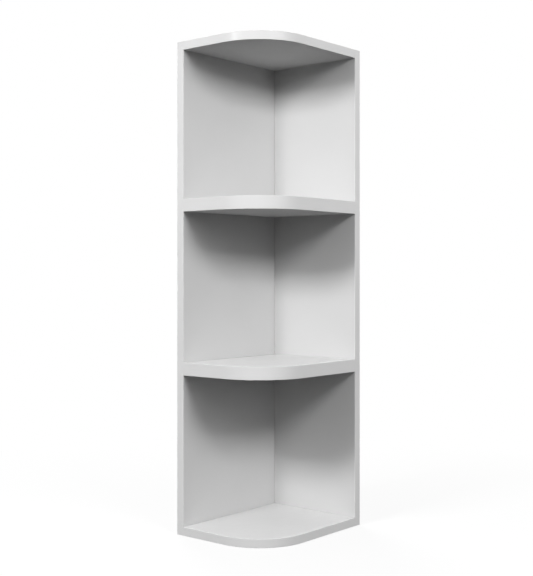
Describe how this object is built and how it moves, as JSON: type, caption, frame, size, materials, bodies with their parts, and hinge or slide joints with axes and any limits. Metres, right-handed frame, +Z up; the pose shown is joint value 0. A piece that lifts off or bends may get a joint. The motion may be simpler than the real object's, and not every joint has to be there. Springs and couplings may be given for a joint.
{
  "type": "corner shelf unit",
  "caption": "Tall open end shelf unit for a wall corner: a deep side panel and a narrower back panel carry white shelves that share one rounded front corner.",
  "frame": {"origin": "under the middle of the unit's outside box, on the plane of its underside", "axes": "+Z up, +Y towards the wall behind the back panel, +X from the side panel towards the open end"},
  "size_m": [0.218, 0.282, 0.92],
  "materials": {
    "white_board": "melamine-faced chipboard, satin white with a fine grain",
    "white_edging": "white plastic edging, satin",
    "zinc_steel": "zinc plated",
    "beech": "bare beech, fluted"
  },
  "bodies": {
    "root": {"side_panel": "white_board", "back_panel": "white_board", "bottom_shelf": "white_board", "lower_shelf": "white_board", "upper_shelf": "white_board", "top_shelf": "white_board", "side_panel_front_edging": "white_edging", "side_panel_rear_edging": "white_edging", "side_panel_top_edging": "white_edging", "side_panel_bottom_edging": "white_edging", "back_panel_front_edging": "white_edging", "back_panel_top_edging": "white_edging", "back_panel_bottom_edging": "white_edging", "bottom_shelf_edging": "white_edging", "lower_shelf_edging": "white_edging", "upper_shelf_edging": "white_edging", "top_shelf_edging": "white_edging", "bottom_shelf_side_screws": "zinc_steel", "bottom_shelf_back_screws": "zinc_steel", "lower_shelf_side_screws": "zinc_steel", "lower_shelf_back_screws": "zinc_steel", "upper_shelf_side_screws": "zinc_steel", "upper_shelf_back_screws": "zinc_steel", "top_shelf_side_screws": "zinc_steel", "top_shelf_back_screws": "zinc_steel", "corner_screws": "zinc_steel", "left_hanger_plate": "zinc_steel", "right_hanger_plate": "zinc_steel", "left_hanger_screws": "zinc_steel", "right_hanger_screws": "zinc_steel", "bottom_shelf_side_dowel": "beech", "bottom_shelf_back_dowel": "beech", "lower_shelf_side_dowel": "beech", "lower_shelf_back_dowel": "beech", "upper_shelf_side_dowel": "beech", "upper_shelf_back_dowel": "beech", "top_shelf_side_dowel": "beech", "top_shelf_back_dowel": "beech", "corner_dowels": "beech"}
  },
  "joints": []
}
